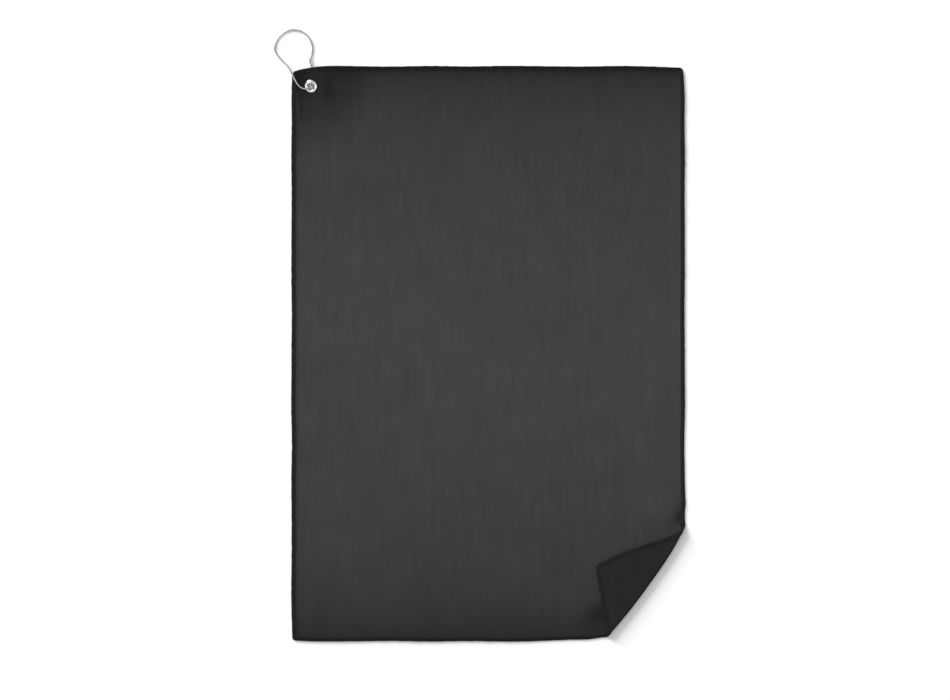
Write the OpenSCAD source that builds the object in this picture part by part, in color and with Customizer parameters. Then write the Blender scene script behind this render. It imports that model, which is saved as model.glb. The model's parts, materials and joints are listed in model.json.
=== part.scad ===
// Microfibre golf towel laid flat, with one corner turned over. A metal grommet in the corner
// diagonally opposite holds a pear-shaped wire hook.
// Frame: +Z is up from the surface that the towel lies on, +Y runs along its length towards the
// grommet's end, and +X runs across its width. The origin is the middle of the underside.

/* [Towel] */
// Width of the finished towel
towel_w = 400; // [360:5:480]
// Length of the finished towel
towel_l = 585; // [500:5:700]
// Thickness of the microfibre cloth
cloth_t = 0.8; // [0.6:0.05:0.9]

/* [Overlocked edge] */
// Width of the stitched edge, measured in from the outline
edge_w = 4; // [3:0.5:5]
// Height of the stitched edge above the surface
edge_t = 1.5; // [1.2:0.1:1.6]
// Thickness of the thread that wraps the cloth's cut edge
wrap_t = 0.6; // [0.4:0.1:0.8]

/* [Turned corner] */
// Direction of the fold line, counted from the towel's width
fold_angle = 54.5; // [48:0.5:58]
// Distance from the flat corner to the start of the fold, square to the fold line
fold_depth = 66.5; // [60:0.5:67]
// Radius of the fold, at the middle of the cloth
fold_r = 3; // [3:0.25:5]
// Slope of the turned corner down to the cloth under it
fold_slope = 4.2; // [3:0.2:4.2]

/* [Grommet] */
// Distance of the grommet's centre in from the left edge
grommet_in = 20; // [19:0.5:22]
// Distance of the grommet's centre down from the top edge
grommet_down = 20.6; // [20:0.2:22]
// Diameter of the grommet's hole
hole_d = 6.4; // [6.4:0.1:7]
// Outside diameter of the grommet
flange_d = 12.7; // [12:0.1:13.5]
// Tilt of the grommet where the cloth rides up over the hook
grommet_tilt = 16; // [15:0.5:17]

/* [Hook] */
// Diameter of the hook's wire
wire_d = 1.7; // [1.4:0.1:1.7]
// Radius of the hook's round bow, at the middle of the wire
bow_r = 19.2; // [18.5:0.1:20]

/* [Hidden] */

// Half sizes of the outline and of the cloth inside the wrapping thread
half_w = towel_w / 2;
half_l = towel_l / 2;
cloth_half_w = half_w - wrap_t;
cloth_half_l = half_l - wrap_t;
// Room between solids that only rest against each other
seam = 0.05;
// Room between parts of the cloth that move away from each other
fold_seam = 0.3;

// Directions along the fold line and square to it, towards the towel's corner
fold_along = [cos(fold_angle), sin(fold_angle), 0];
fold_out = [sin(fold_angle), -cos(fold_angle), 0];
corner_reach = fold_out * [half_w, -half_l, 0];
fold_start = corner_reach - fold_depth;
fold_turn = 180 + fold_slope;
fold_arc = fold_r * fold_turn * PI / 180;
fold_end = fold_start + fold_arc;
// The fold bends in two halves, on either side of a narrow strip along its ridge
half_turn = fold_turn / 2;
half_arc = fold_arc / 2;
ridge_w = 2;
fold_steps = 8;

// The hinge line of one half of the fold: the one line about which the cloth past it swings
// from bent to flat. Points are (along the cloth, up) from the start of that half at the
// middle of the cloth.
bent_at = fold_r * [sin(half_turn), 1 - cos(half_turn)];
flat_at = [half_arc, 0];
swing = flat_at - bent_at;
half_pivot = (bent_at + flat_at) / 2 + [-swing.y, swing.x] / (2 * tan(-half_turn / 2));

// The cloth's corner that the hook lifts, and the grommet in it
patch_w = 75;
patch_l = 55;
patch_step = 2.5;
patch_rings = 9;
// Room under the stitched edge where it and the cloth are both curved
patch_seam = 0.2;
patch_x = -half_w + patch_w;
patch_y = half_l - patch_l;
grommet_at = [-half_w + grommet_in, half_l - grommet_down];
rise_way = [0.774, 0.633];
grommet_z = 3.0;
flat_radius = 10;
blend_width = 14;
lift_height = 2.7;

// Eyelet and washer, with heights counted from the cloth's underside
hole_r = hole_d / 2;
flange_r = flange_d / 2;
metal_t = 0.4;
crown_t = 0.65;
lip_w = 1.3;
crown_steps = 12;

// The hook's wire, in a frame at the grommet's centre with z counted from the surface
wire_r = wire_d / 2;
wire_z = 0.9;
wire_sides = 8;
bow_at = [-17.8, 38.4];
bow_split = 93;
bow_left = 186;
bow_right = -22;
bow_step = 6;
split_gap = 0.4;
// Front leg, from the bow over the cloth to the hole, then down through it, back under the
// cloth, out past the top edge and up into the catch
front_leg = [[-34.8, 32.3, 1.1], [-32.2, 29.0, 1.5], [-28.6, 25.2, 2.4], [-25.4, 22.3, 3.3],
             [-22.8, 19.2, 4.1], [-20.8, 16.0, 4.7], [-19.2, 12.8, 5.0], [-17.6, 9.0, 4.9],
             [-15.6, 5.2, 4.6], [-13.6, 2.0, 4.2], [-11.2, -0.6, 4.1], [-8.4, -2.2, 4.3],
             [-5.6, -2.8, 4.6], [-3.2, -2.2, 4.4]];
back_leg = [[0, 0, 3.35], [2.4, 2.6, 2.2], [3.9, 5.6, 1.2], [4.2, 9.0, 0.9], [3.4, 12.5, 0.9],
            [2.0, 16.0, 0.9], [0.7, 19.5, 0.9], [0.2, 22.2, 0.9]];
catch = [[0.2, 24.4, 0.9], [0.5, 26.0, 1.0], [0.7, 27.3, 1.8], [0.1, 28.0, 2.8],
         [-1.5, 27.8, 3.0]];
gate_tip = [[-0.8, 29.4, 0.9], [-1.5, 27.6, 0.9], [-2.0, 26.0, 0.9], [-2.3, 24.8, 0.9]];

// Smooth step from 0 to 1
function ease(x) = let(c = min(1, max(0, x))) c * c * (3 - 2 * c);

// Height of the cloth's underside over the surface, in the patch round the grommet
function plane_rise(p) =
    grommet_z + tan(grommet_tilt) * (rise_way * (p - grommet_at)) / norm(rise_way);
function drape_rise(p) =
    lift_height * ease((p.x + half_w) / 10) * (1 - ease((p.x + half_w - 40) / (patch_w - 40)))
    * (1 - ease((half_l - p.y - 18) / (patch_l - 18)));
function lift(p) =
    let(away = norm(p - grommet_at), share = 1 - ease((away - flat_radius) / blend_width))
    share * max(0, plane_rise(p)) + (1 - share) * drape_rise(p);

// Even steps from one value to another, no longer than a given step
function steps(from, to, step) =
    let(n = ceil(abs(to - from) / step)) [for (i = [0 : n]) from + (to - from) * i / n];

// Where a line square to the fold direction meets a vertical or a horizontal line of the towel
function y_on_fold(reach, x) = (sin(fold_angle) * x - reach) / cos(fold_angle);
function x_on_fold(reach, y) = (reach + cos(fold_angle) * y) / sin(fold_angle);

// A point of the flat towel, at a height above its underside, carried round the fold
function bent(p, height) =
    let(flat = [p.x, p.y, 0], past = fold_out * flat - fold_start,
        angle = past / fold_r * 180 / PI, radius = fold_r + cloth_t / 2 - height)
    fold_along * (fold_along * flat) + fold_out * (fold_start + radius * sin(angle))
    + [0, 0, cloth_t / 2 + fold_r - radius * cos(angle)];

// Cross-section of the stitched edge, with a gap over the cloth: distance in from the outline,
// height above the underside
function edge_section(gap) = [[0, 0], [wrap_t - seam, 0], [wrap_t - seam, cloth_t + gap],
                              [edge_w, cloth_t + gap], [edge_w, edge_t], [0, edge_t]];

// One smooth curve through a list of points
function spline_point(a, b, c, d, t) =
    0.5 * (2 * b + (c - a) * t + (2 * a - 5 * b + 4 * c - d) * t * t
           + (3 * b - a - 3 * c + d) * t * t * t);
function spline(pts, n) =
    let(last = len(pts) - 1)
    [for (i = [0 : last - 1]) for (k = [0 : n - 1])
        spline_point(pts[max(0, i - 1)], pts[i], pts[i + 1], pts[min(last, i + 2)], k / n),
     pts[last]];
function bow(from, to) =
    [for (a = steps(from, to, bow_step)) [bow_at.x + bow_r * cos(a), bow_at.y + bow_r * sin(a),
                                          wire_z]];

// A solid skinned over rings of points that all have the same number of points. It has flat
// ends, or joins up with itself round a hole.
module skin(rings, joined = false) {
    k = len(rings[0]);
    n = len(rings);
    sides = [for (i = [0 : n - (joined ? 1 : 2)]) for (j = [0 : k - 1])
        let(a = i * k + j, b = i * k + (j + 1) % k, up = ((i + 1) % n - i) * k)
        each [[a, b, b + up], [a, b + up, a + up]]];
    caps = [[for (j = [k - 1 : -1 : 0]) j], [for (j = [0 : k - 1]) (n - 1) * k + j]];
    polyhedron(points = [for (ring = rings) each ring], faces = concat(sides, joined ? [] : caps));
}

// Round wire along a curve that never runs straight up
module wire(curve) {
    last = len(curve) - 1;
    skin([for (i = [0 : last])
        let(run = curve[min(last, i + 1)] - curve[max(0, i - 1)], way = run / norm(run),
            side = cross([0, 0, 1], way), across = side / norm(side), up = cross(way, across))
        [for (j = [0 : wire_sides - 1]) let(a = -360 * (j + 0.5) / wire_sides)
            curve[i] + wire_r * (cos(a) * across + sin(a) * up)]]);
}

module at_grommet() {
    translate([grommet_at.x, grommet_at.y, grommet_z])
        rotate(a = grommet_tilt, v = [rise_way.y, -rise_way.x, 0])
            children();
}

// Swings flat cloth up about the hinge line of the half fold that starts at the given reach
module swung_up(reach) {
    hinge = fold_out * (reach + half_pivot.x) + [0, 0, cloth_t / 2 + half_pivot.y];
    translate(hinge) rotate(a = -half_turn, v = fold_along) translate(-hinge) children();
}

// Carries flat cloth at its place in the towel over to where the turned corner lies
module turned_over() {
    swung_up(fold_start) swung_up(fold_start + half_arc) children();
}

// The flat towel on one side of the fold, as a plan
module before_fold() {
    polygon([[-half_w, -half_l], [x_on_fold(fold_start, -half_l), -half_l],
             [half_w, y_on_fold(fold_start, half_w)], [half_w, half_l], [-half_w, half_l]]);
}
module past_fold() {
    start = fold_end + fold_seam;
    polygon([[x_on_fold(start, -half_l), -half_l], [half_w, -half_l],
             [half_w, y_on_fold(start, half_w)]]);
}

// The stitched edge over the given part of the towel's plan, which is its child
module edge_over() {
    linear_extrude(cloth_t + seam) intersection() {
        difference() {
            square([towel_w, towel_l], center = true);
            square(2 * [cloth_half_w + seam, cloth_half_l + seam], center = true);
        }
        children();
    }
    translate([0, 0, cloth_t + seam]) linear_extrude(edge_t - cloth_t - seam) intersection() {
        difference() {
            square([towel_w, towel_l], center = true);
            square([towel_w - 2 * edge_w, towel_l - 2 * edge_w], center = true);
        }
        children();
    }
}

module towel_panel() {
    color("#424242") linear_extrude(cloth_t) difference() {
        intersection() {
            square(2 * [cloth_half_w, cloth_half_l], center = true);
            before_fold();
        }
        translate([-half_w, patch_y]) square([patch_w, patch_l]);
    }
}

// The patch is skinned on spokes that run out from the grommet's hole to the patch's outline,
// which is walked clockwise from its top left corner
module grommet_corner() {
    xs = steps(-cloth_half_w, patch_x, patch_step);
    ys = steps(cloth_half_l, patch_y, patch_step);
    across = len(xs) - 1;
    down = len(ys) - 1;
    outline = concat([for (i = [0 : across - 1]) [xs[i], cloth_half_l]],
                     [for (i = [0 : down - 1]) [patch_x, ys[i]]],
                     [for (i = [across : -1 : 1]) [xs[i], patch_y]],
                     [for (i = [down : -1 : 1]) [-cloth_half_w, ys[i]]]);
    color("#424242") skin(joined = true, rings = [for (end = outline)
        let(spoke = end - grommet_at, reach = norm(spoke), way = spoke / reach,
            stops = concat([hole_r + metal_t + 2 * seam],
                           steps(flange_r + 0.6, flat_radius, patch_step),
                           [for (k = [1 : patch_rings])
                               flat_radius + (reach - flat_radius) * k / patch_rings]),
            pts = [for (r = stops) grommet_at + r * way])
        concat([for (p = pts) [p.x, p.y, lift(p)]],
               [for (i = [len(pts) - 1 : -1 : 0]) [pts[i].x, pts[i].y, lift(pts[i]) + cloth_t]])]);
}

// A band of the fold's cloth, from one distance past the fold's start to another
module fold_cloth(from, to) {
    skin([for (i = [0 : fold_steps])
        let(reach = fold_start + from + (to - from) * i / fold_steps,
            bottom = [x_on_fold(reach, -cloth_half_l), -cloth_half_l],
            right = [cloth_half_w, y_on_fold(reach, cloth_half_w)])
        [bent(bottom, 0), bent(bottom, cloth_t), bent(right, cloth_t), bent(right, 0)]]);
}

// The two lengths of stitched edge on a band of the fold
module fold_edges(from, to) {
    reaches = [for (i = [0 : fold_steps]) fold_start + from + (to - from) * i / fold_steps];
    skin([for (i = [0 : fold_steps]) [for (s = edge_section(seam)) let(x = half_w - s.x)
        bent([x, y_on_fold(reaches[i], x)], s.y)]]);
    skin([for (i = [fold_steps : -1 : 0]) [for (s = edge_section(seam)) let(y = -half_l + s.x)
        bent([x_on_fold(reaches[i], y), y], s.y)]]);
}

module fold_lower() {
    color("#424242") fold_cloth(0, half_arc - ridge_w / 2 - fold_seam);
}

module fold_ridge() {
    color("#424242") fold_cloth(half_arc - ridge_w / 2, half_arc + ridge_w / 2);
}

module fold_upper() {
    color("#424242") fold_cloth(half_arc + ridge_w / 2 + fold_seam, fold_arc);
}

module turned_corner() {
    color("#272727") turned_over() linear_extrude(cloth_t) intersection() {
        square(2 * [cloth_half_w, cloth_half_l], center = true);
        past_fold();
    }
}

module edge_top() {
    color("#202020") edge_over() translate([patch_x, half_l - edge_w])
        square([half_w - patch_x, edge_w]);
}

module edge_right() {
    color("#202020") edge_over() intersection() {
        translate([half_w - edge_w, -half_l]) square([edge_w, towel_l - edge_w]);
        before_fold();
    }
}

module edge_bottom() {
    color("#202020") edge_over() intersection() {
        translate([-half_w, -half_l]) square([towel_w, edge_w]);
        before_fold();
    }
}

module edge_left() {
    color("#202020") edge_over() translate([-half_w, -half_l + edge_w])
        square([edge_w, patch_y + half_l - edge_w]);
}

module edge_grommet_corner() {
    section = edge_section(patch_seam);
    color("#202020") {
        skin([for (x = steps(patch_x, -half_w, patch_step))
            [for (s = section) let(p = [x, half_l - s.x]) [p.x, p.y, lift(p) + s.y]]]);
        skin([for (y = steps(half_l - edge_w - seam, patch_y, patch_step))
            [for (s = section) let(p = [-half_w + s.x, y]) [p.x, p.y, lift(p) + s.y]]]);
    }
}

module edge_fold_lower() {
    color("#202020") fold_edges(0, half_arc - ridge_w / 2 - fold_seam);
}

module edge_fold_ridge() {
    color("#202020") fold_edges(half_arc - ridge_w / 2, half_arc + ridge_w / 2);
}

module edge_fold_upper() {
    color("#202020") fold_edges(half_arc + ridge_w / 2 + fold_seam, fold_arc);
}

module edge_turned_corner() {
    color("#202020") turned_over() edge_over() past_fold();
}

// The eyelet: a crowned front flange, the barrel through the cloth, and the lip rolled over
// the washer behind it
module grommet_eyelet() {
    crown_w = (flange_r - hole_r) / 2;
    face = cloth_t + seam;
    color("#d8d8d8") at_grommet() rotate_extrude($fn = 64) polygon(concat(
        [[hole_r, -2 * metal_t - seam], [hole_r + lip_w, -2 * metal_t - seam],
         [hole_r + lip_w, -metal_t - 2 * seam], [hole_r + metal_t, -metal_t - 2 * seam],
         [hole_r + metal_t, face], [flange_r, face]],
        [for (i = [0 : crown_steps]) let(a = 180 * i / crown_steps)
            [hole_r + crown_w + crown_w * cos(a),
             face + metal_t / 2 + (crown_t - metal_t / 2) * sin(a)]]));
}

module grommet_washer() {
    color("#d8d8d8") at_grommet() translate([0, 0, -metal_t - seam])
        difference() {
            cylinder(h = metal_t, r = flange_r, $fn = 64);
            translate([0, 0, -1]) cylinder(h = metal_t + 2, r = hole_r + metal_t + seam, $fn = 64);
        }
}

module hook_wire() {
    color("#c8c8c8") translate([grommet_at.x, grommet_at.y, 0])
        wire(concat(bow(bow_split, bow_left),
                    spline(concat(front_leg, back_leg, catch), 2)));
}

module hook_gate() {
    color("#c8c8c8") translate([grommet_at.x, grommet_at.y, 0])
        wire(concat(bow(bow_split - split_gap / bow_r * 180 / PI, bow_right),
                    spline(gate_tip, 2)));
}

towel_panel();
grommet_corner();
fold_lower();
fold_ridge();
fold_upper();
turned_corner();
edge_top();
edge_right();
edge_bottom();
edge_left();
edge_grommet_corner();
edge_fold_lower();
edge_fold_ridge();
edge_fold_upper();
edge_turned_corner();
grommet_eyelet();
grommet_washer();
hook_wire();
hook_gate();
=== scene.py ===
"""A microfibre golf towel laid flat, with one corner turned over and a wire hook in the other.

The cloth and the threads of its overlocked edge are set out on the flat towel in millimetres, and
one function, laid(), carries any point of the flat towel to where it lies. The hook and the
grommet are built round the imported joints. Lengths are in millimetres until a mesh is made.
"""
import json
import math

import bmesh
import bpy
import numpy as np
from mathutils import Matrix, Vector


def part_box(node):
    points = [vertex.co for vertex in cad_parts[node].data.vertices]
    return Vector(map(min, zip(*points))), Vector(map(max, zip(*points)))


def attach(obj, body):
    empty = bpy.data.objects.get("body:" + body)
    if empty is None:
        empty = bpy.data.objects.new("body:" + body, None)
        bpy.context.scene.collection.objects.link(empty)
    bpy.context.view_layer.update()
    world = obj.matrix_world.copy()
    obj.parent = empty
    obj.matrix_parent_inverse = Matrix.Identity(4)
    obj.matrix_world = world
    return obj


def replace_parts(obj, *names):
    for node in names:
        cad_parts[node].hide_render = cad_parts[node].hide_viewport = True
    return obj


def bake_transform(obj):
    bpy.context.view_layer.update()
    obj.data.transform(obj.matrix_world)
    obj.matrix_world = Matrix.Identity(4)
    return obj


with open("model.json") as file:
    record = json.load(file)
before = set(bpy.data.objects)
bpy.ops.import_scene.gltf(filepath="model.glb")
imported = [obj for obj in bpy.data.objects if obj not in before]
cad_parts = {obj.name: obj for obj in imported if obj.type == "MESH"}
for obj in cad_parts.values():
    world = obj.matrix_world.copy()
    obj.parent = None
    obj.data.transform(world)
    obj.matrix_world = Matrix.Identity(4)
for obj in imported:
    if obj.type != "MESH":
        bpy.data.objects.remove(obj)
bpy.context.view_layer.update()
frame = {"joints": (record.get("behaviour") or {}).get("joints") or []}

MM = 0.001


# ---------------------------------------------------------------- sizes and places from the frame

def box_mm(node):
    low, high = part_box(node)
    return np.array(low) / MM, np.array(high) / MM


def joint(name):
    return next(j for j in frame["joints"] if j["name"] == name)


HALF_W = box_mm("edge_right")[1][0]
HALF_L = -box_mm("edge_bottom")[0][1]
CLOTH_T = box_mm("towel_panel")[1][2]
# How far the edge's threads reach out past the cut cloth
WRAP_T = HALF_L + box_mm("towel_panel")[0][1]

# The fold: its direction, the way out to the corner, and where it starts. The cloth rolls over
# by TURN on a radius of FOLD_R, and past the roll the flap slopes down by SLOPE.
HINGE = joint("fold_roll")
ALONG = np.array(HINGE["axis"][:2])
OUT = np.array([ALONG[1], -ALONG[0]])
FOLD_R = (box_mm("fold_upper")[1][2] - CLOTH_T) / 2
HALF_TURN = math.radians(HINGE["range_deg"][1])
TURN = 2 * HALF_TURN
ARC = FOLD_R * TURN
RIDGE_AT = FOLD_R * np.array([math.sin(HALF_TURN), 1 - math.cos(HALF_TURN)])
SWING = np.array([ARC / 2, 0]) - RIDGE_AT
PIVOT_OUT = (RIDGE_AT[0] + ARC / 2) / 2 + SWING[1] / (2 * math.tan(HALF_TURN / 2))
FOLD_START = OUT @ np.array(HINGE["pos_m"][:2]) / MM - PIVOT_OUT
SLOPE = TURN - math.pi

# The grommet, and how the cloth's corner rises where it rides up over the hook. The cloth is a
# tilted plane round the grommet, and blends into a drape that fills a patch of the corner.
GROMMET = np.array(joint("hook_swivel")["pos_m"][:2]) / MM
GROMMET_Z = 3.0
GROMMET_TILT = math.radians(16)
RISE_WAY = np.array([0.774, 0.633]) / math.hypot(0.774, 0.633)
FLAT_RADIUS = 10
BLEND_WIDTH = 14
LIFT_HEIGHT = 2.7
LIFT_WITHIN = 10
LEVEL_W = 40
LEVEL_L = 18
PATCH_W = 75
PATCH_L = 55

# The outline's rounded corners
CORNER_R = 3.2


# ---------------------------------------------------------------- the lie of the cloth

def ease(x):
    c = np.clip(x, 0, 1)
    return c * c * (3 - 2 * c)


def ripple(t, seed, shortest, longest, count=7):
    """A smooth random line over t, about -1 to 1, from waves of the given lengths."""
    rng = np.random.default_rng(seed)
    total = np.zeros_like(t, float)
    for length in np.geomspace(shortest, longest, count) * rng.uniform(0.9, 1.1, count):
        total += np.sin(2 * math.pi * (t / length + rng.random()))
    return total / math.sqrt(2 * count)


def swell(x, y, seed, shortest, longest, count=14):
    """A smooth random field over the towel, about -1 to 1."""
    rng = np.random.default_rng(seed)
    total = np.zeros_like(x, float)
    for length in np.geomspace(shortest, longest, count):
        turn = rng.uniform(0, math.pi)
        way = (x * math.cos(turn) + y * math.sin(turn)) / length
        total += np.sin(2 * math.pi * (way + rng.random()))
    return total / math.sqrt(2 * count)


# How each corner is drawn in by its seam: side in x, side in y, pull in x, pull in y, reach,
# and how fast the pull gathers towards the corner
DRAWN_CORNERS = [
    (-1, 1, 0.8, 5.8, 52, 2.0),
    (1, 1, 1.8, 1.8, 40, 1.4),
    (-1, -1, 0.6, 1.0, 30, 1.4),
    (1, -1, 3.0, 3.0, 40, 1.4),
]


# How far from the corner the pull dies out altogether
PULL_SPAN = 70
# The outline's slow wander and its quick ripple: size, then shortest and longest wave
WANDER = (0.35, 70, 210)
RIPPLE = (0.11, 9, 21)
RIPPLE_REACH = 12
# The bottom hem is pushed up as it comes to the fold
HEM_PUSH = 1.8
HEM_PUSH_FROM = 30
HEM_PUSH_OVER = 85
HEM_PUSH_REACH = 60
HEM_PUSH_ENDS = 20


def drawn(x, y):
    """Where a point of the flat towel comes to lie in plan, before the fold."""
    out_x, out_y = np.zeros_like(x), np.zeros_like(y)
    for side_x, side_y, pull_x, pull_y, reach, gather in DRAWN_CORNERS:
        near_x = np.clip(1 - (HALF_W - side_x * x) / reach, 0, 1.1) ** gather
        near_y = np.clip(1 - (HALF_L - side_y * y) / reach, 0, 1.1) ** gather
        inward = ease(1 - (HALF_W - side_x * x) / PULL_SPAN)
        inward = inward * ease(1 - (HALF_L - side_y * y) / PULL_SPAN)
        out_x -= side_x * pull_x * near_y * inward
        out_y -= side_y * pull_y * near_x * inward
    away_x, away_y = HALF_W - np.abs(x), HALF_L - np.abs(y)
    size, *waves = WANDER
    out_x += size * ripple(y, 11, *waves) * x / HALF_W
    out_y += size * ripple(x, 12, *waves) * y / HALF_L
    size, *waves = RIPPLE
    out_x += size * ripple(y, 13, *waves) * ease(1 - away_x / RIPPLE_REACH)
    out_y += size * ripple(x, 14, *waves) * ease(1 - away_y / RIPPLE_REACH)
    before_fold = 1 - ease((OUT[0] * x + OUT[1] * y - FOLD_START) / HEM_PUSH_ENDS)
    out_y += (HEM_PUSH * ease((x - HEM_PUSH_FROM) / HEM_PUSH_OVER)
              * ease(1 - (y + HALF_L) / HEM_PUSH_REACH) * before_fold)
    return x + out_x, y + out_y


def corner_rise(x, y):
    """Height of the cloth's underside where the corner rides up over the hook's wire."""
    from_grommet = np.stack([x - GROMMET[0], y - GROMMET[1]], -1)
    away = np.linalg.norm(from_grommet, axis=-1)
    plane = GROMMET_Z + math.tan(GROMMET_TILT) * (from_grommet @ RISE_WAY)
    right, down = x + HALF_W, HALF_L - y
    drape = (LIFT_HEIGHT * ease(right / LIFT_WITHIN)
             * (1 - ease((right - LEVEL_W) / (PATCH_W - LEVEL_W)))
             * (1 - ease((down - LEVEL_L) / (PATCH_L - LEVEL_L))))
    share = 1 - ease((away - FLAT_RADIUS) / BLEND_WIDTH)
    return share * np.maximum(0, plane) + (1 - share) * drape


BESIDE_HEIGHT = 0.9
FAN_HEIGHT = 0.8
RIGHT_SWELLING = 1.5
BOTTOM_SWELLING = 1.6
# Where the two swellings lie: the first by its place down the right side, the second by its tip
RIGHT_SWELLING_Y = -164
BOTTOM_SWELLING_AT = (104, -268)
# Rounded, and kept so, since the swelling at the bottom was set with it
ROOT_2 = 1.414


def rise_and_fall(t, start, rise, fall_from, fall):
    """0 before start, up to 1 over the rise, and back to 0 from fall_from over the fall."""
    return ease((t - start) / rise) * (1 - ease((t - fall_from) / fall))


def bell(t, width):
    return np.exp(-(t / width) ** 2)


def creases(x, y):
    """Height of the ridges that run from the hook's corner into the cloth, and of the swellings
    beside the two ends of the fold, which fall off towards the hem."""
    right, down = x + HALF_W, HALF_L - y
    beside = bell(right - 7 - 0.06 * (down - 30), 2.6) * rise_and_fall(down, 16, 12, 44, 24)
    away = np.hypot(x - GROMMET[0], y - GROMMET[1])
    turn = np.arctan2(y - GROMMET[1], x - GROMMET[0])
    fan = bell(turn + 0.95, 0.16) + 0.7 * bell(turn + 0.12, 0.13)
    fan *= rise_and_fall(away, 12, 14, 30, 42)
    from_right = HALF_W - x
    at_right = ease((60 - from_right) / 50) * ease((from_right - 1) / 9)
    at_right *= bell(y - RIGHT_SWELLING_Y, 13)
    past_x, past_y = x - BOTTOM_SWELLING_AT[0], y - BOTTOM_SWELLING_AT[1]
    onward, across = (past_x - past_y) / ROOT_2, (past_x + past_y) / ROOT_2
    at_bottom = ease((onward + 60) / 50) * ease((8 - onward) / 16) * bell(across, 17)
    return (BESIDE_HEIGHT * beside + FAN_HEIGHT * fan + RIGHT_SWELLING * at_right
            + BOTTOM_SWELLING * at_bottom)


# The fold draws in towards its right and bottom ends: depth, where that starts along the fold,
# over what length, and how late it gathers
INSET_RIGHT = (4.0, -80, 50, 2.2)
INSET_BOTTOM = (3.3, -98, 62, 2.0)


def fold_inset(v):
    """How far the fold draws in, by distance along the fold."""
    total = 0
    for side, (depth, start, length, gather) in ((1, INSET_RIGHT), (-1, INSET_BOTTOM)):
        total = total + depth * np.clip(side * (v - start) / length, 0, 1) ** gather
    return total


# The turned corner lies askew: it is carried along the fold more at the right than at the bottom.
# This comes on over the cloth before the roll, the roll, and a little past it.
SKEW_AT_CORNER = 10
SKEW_BY_X = 0.12
SKEW_BEFORE = 28
SKEW_AFTER = 8
# The inset comes on before the roll, and fades out past its ridge
INSET_REACH = 18
INSET_FADE = 14
# The cloth lies calm round the grommet, and where the flap covers it: how far back from the
# fold, less near the flap's ends, and over what width the calm gives way
CALM_RADIUS = 26
UNDER_FLAP = 62
FLAP_MIDDLE = -88
FLAP_HALF = 45
FLAP_TAPER = 25
FLAP_TAPER_OVER = 30
CALM_FADE = 55
# How much more the hem stands up before the fold than past it, and how wide it is
HEM_RISE = 0.5
HEM_RISE_LOST = 0.25
HEM_WIDTH = 9
# The pucker of the seam and the undulation of the cloth
PUCKER = 0.22
PUCKER_REACH = 16
UNDULATION = 0.22
FLAP_UNDULATION = 0.35
# How far the roll's section bulges from round towards square
SQUARENESS = 0.2


def laid(x, y):
    """Rest place of the cloth's middle at a point of the flat towel."""
    x, y = np.asarray(x, float), np.asarray(y, float)
    flat_x, flat_y = drawn(x, y)
    s = OUT[0] * flat_x + OUT[1] * flat_y - FOLD_START
    v = ALONG[0] * flat_x + ALONG[1] * flat_y
    on_roll = np.clip(s / ARC, 0, 1)

    away = np.minimum(HALF_W - np.abs(x), HALF_L - np.abs(y))
    calm = 1 - ease(1 - np.hypot(x - GROMMET[0], y - GROMMET[1]) / CALM_RADIUS)
    taper = FLAP_TAPER * ease((np.abs(v - FLAP_MIDDLE) - FLAP_HALF) / FLAP_TAPER_OVER)
    calm = calm * ease((-s - UNDER_FLAP + taper) / CALM_FADE)
    hem_rise = (HEM_RISE - HEM_RISE_LOST * ease(on_roll)) * ease(1 - away / HEM_WIDTH)
    pucker = PUCKER * (1 + ripple(x + y, 15, 9, 24)) * ease(1 - away / PUCKER_REACH)
    pucker = pucker * ease(-s / 20)
    undulation = UNDULATION * (1.6 + swell(x, y, 16, 42, 190))
    height = (CLOTH_T / 2 + hem_rise + calm * (pucker + undulation)
              + corner_rise(x, y) + creases(x, y))
    height = np.where(s > 0, CLOTH_T / 2, height)

    skew = SKEW_AT_CORNER + SKEW_BY_X * (x - HALF_W)
    v = v + skew * ease((s + SKEW_BEFORE) / (ARC + SKEW_BEFORE + SKEW_AFTER))
    drawn_in = fold_inset(v) * ease(1 + s / INSET_REACH) * ease(1 - (s - ARC / 2) / INSET_FADE)
    angle = on_roll * TURN
    past = np.maximum(s - ARC, 0)
    radius = FOLD_R * (1 + SQUARENESS * np.sin(math.pi * angle / HALF_TURN) ** 2)
    roll_out, roll_up = radius * np.sin(angle), FOLD_R - radius * np.cos(angle)
    reach = np.where(s > 0, FOLD_START + roll_out - past * math.cos(SLOPE), FOLD_START + s)
    height = height + np.where(s > 0, roll_up - past * math.sin(SLOPE), 0)
    height += FLAP_UNDULATION * swell(x, y, 17, 16, 50) * rise_and_fall(past, 0, 12, 26, 18)
    # the hem's own thickness stands out from the side that faced up before the fold
    height = height + np.where(s > 0, hem_rise * np.cos(angle), 0)
    reach = reach - np.where(s > 0, hem_rise * np.sin(angle), 0) - drawn_in
    place = np.multiply.outer(reach, OUT) + np.multiply.outer(v, ALONG)
    return np.concatenate([place, height[..., None]], -1)


def facing(x, y, step=0.05):
    """Unit normal of the lying cloth, on the side that faces up where it isn't turned over."""
    across = laid(x + step, y) - laid(x - step, y)
    up = laid(x, y + step) - laid(x, y - step)
    normal = np.cross(across, up)
    return normal / np.linalg.norm(normal, axis=-1, keepdims=True)


def off_cloth(x, y, distance):
    """A point at a distance from the cloth's middle, out from its front."""
    return laid(x, y) + np.asarray(distance)[..., None] * facing(x, y)


# ---------------------------------------------------------------- meshes

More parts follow.
